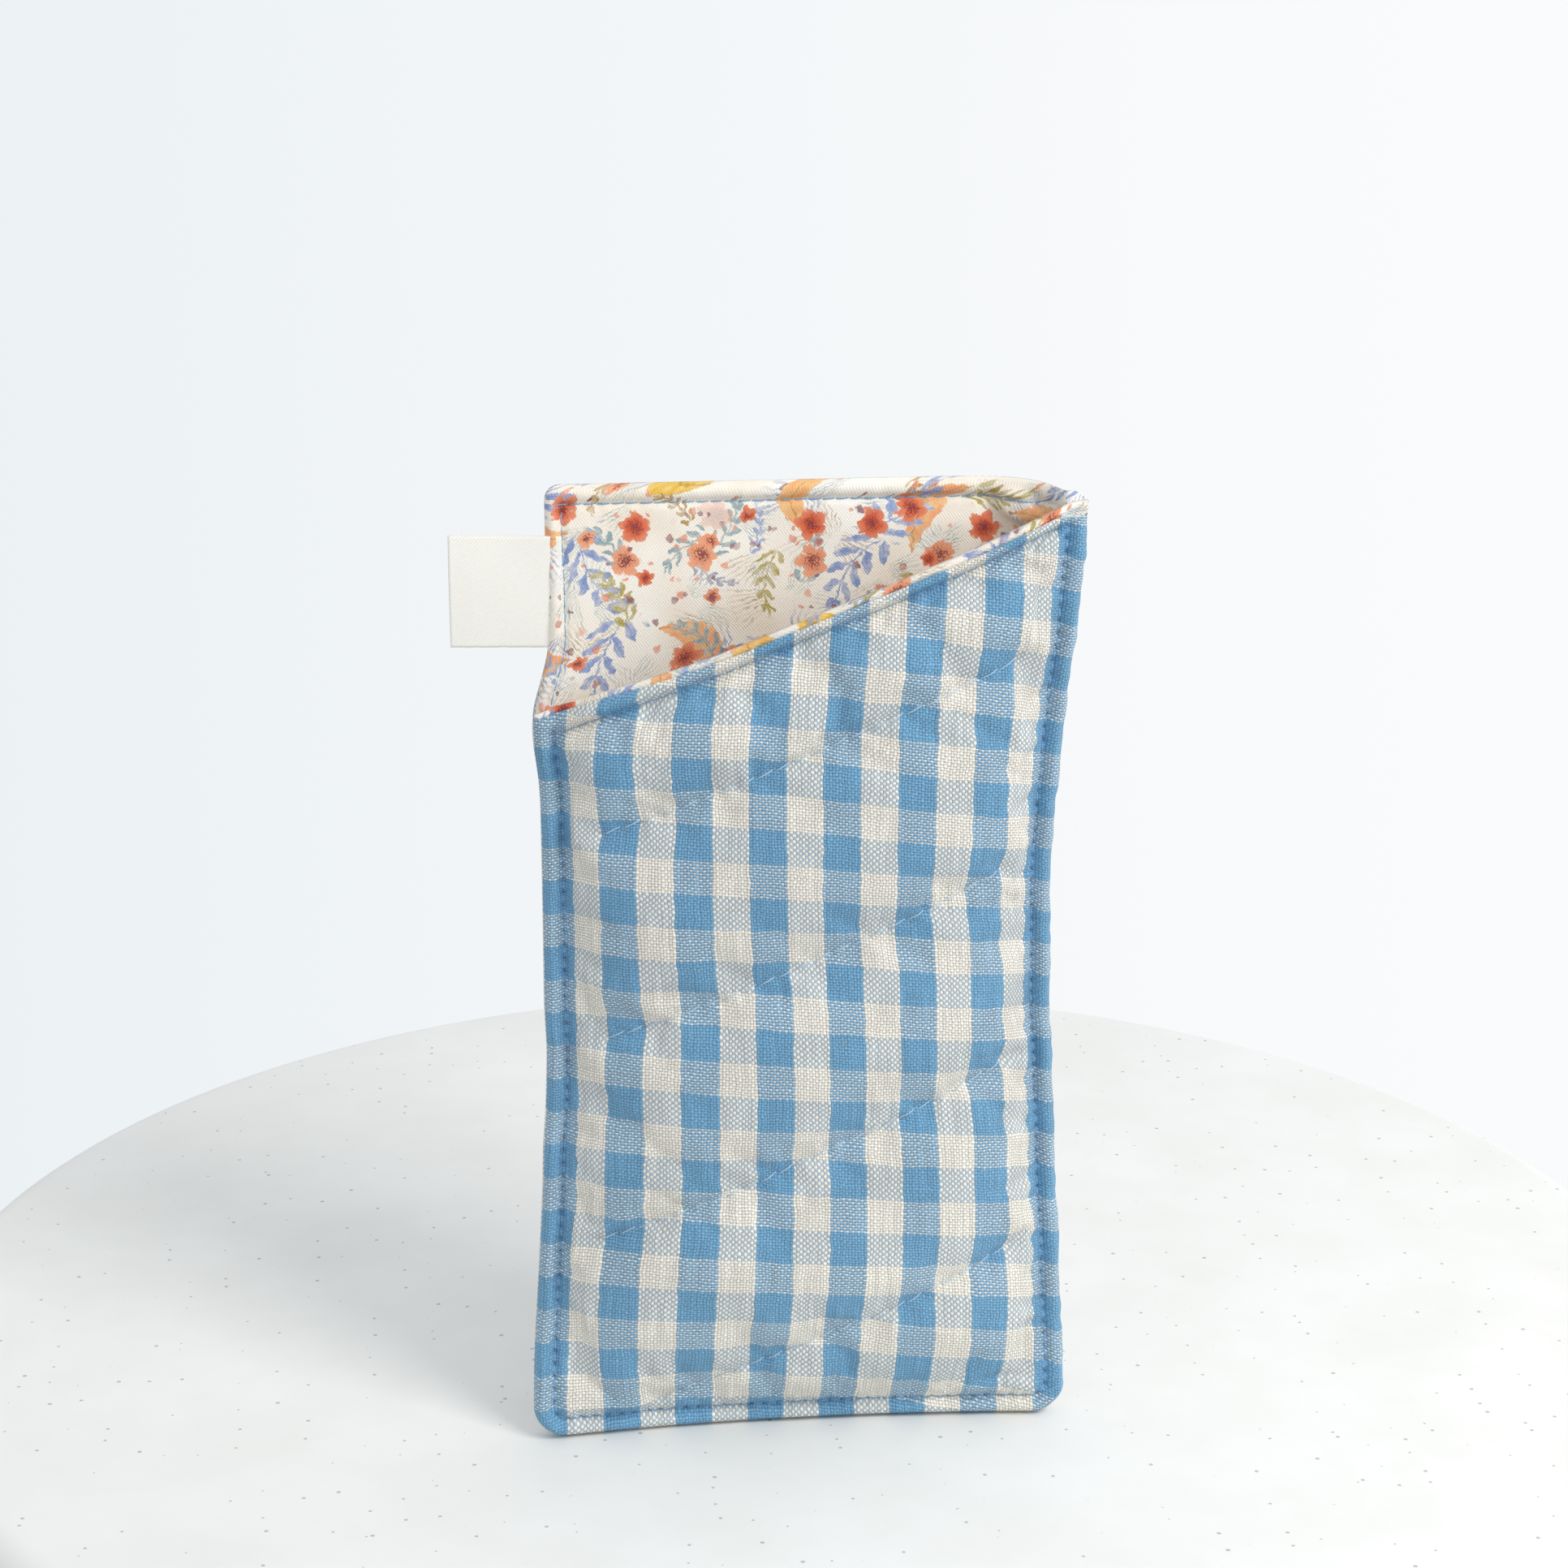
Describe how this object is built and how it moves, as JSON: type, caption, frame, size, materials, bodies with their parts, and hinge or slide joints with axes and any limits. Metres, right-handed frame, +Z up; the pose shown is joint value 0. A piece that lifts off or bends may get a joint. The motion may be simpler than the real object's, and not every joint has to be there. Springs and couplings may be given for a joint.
{
  "type": "soft pouch glasses case",
  "caption": "Quilted fabric sleeve for glasses with a slanted mouth, printed lining, topstitched edges and a folded tape label.",
  "frame": {"origin": "middle of the base seam, on the surface the case stands on", "axes": "+Z up towards the mouth, -Y to the front wall, +X to the high side of the mouth"},
  "size_m": [0.107, 0.0304, 0.17],
  "materials": {
    "gingham_cotton": "woven blue and cream gingham",
    "cotton_wadding": "lofty white felt",
    "printed_lining": "smooth printed cotton",
    "sewing_thread": "twisted cream thread",
    "cotton_tape": "ivory twill tape"
  },
  "bodies": {
    "case": {"front_outer": "gingham_cotton", "front_wadding": "cotton_wadding", "front_lining": "printed_lining", "back_outer": "gingham_cotton", "back_wadding": "cotton_wadding", "back_lining": "printed_lining", "edge_topstitch": "sewing_thread", "mouth_topstitch": "sewing_thread", "front_quilting": "sewing_thread", "back_quilting": "sewing_thread"},
    "label": {"label_tab": "cotton_tape"}
  },
  "joints": [
    {"name": "label_flap", "type": "hinge", "parent": "case", "child": "label", "pos_m": [-0.0431, 0.00544, 0.1521], "axis": [0, 0, 1], "range_deg": [-70, 70], "stiffness_Nm_per_rad": 0.0002}
  ]
}
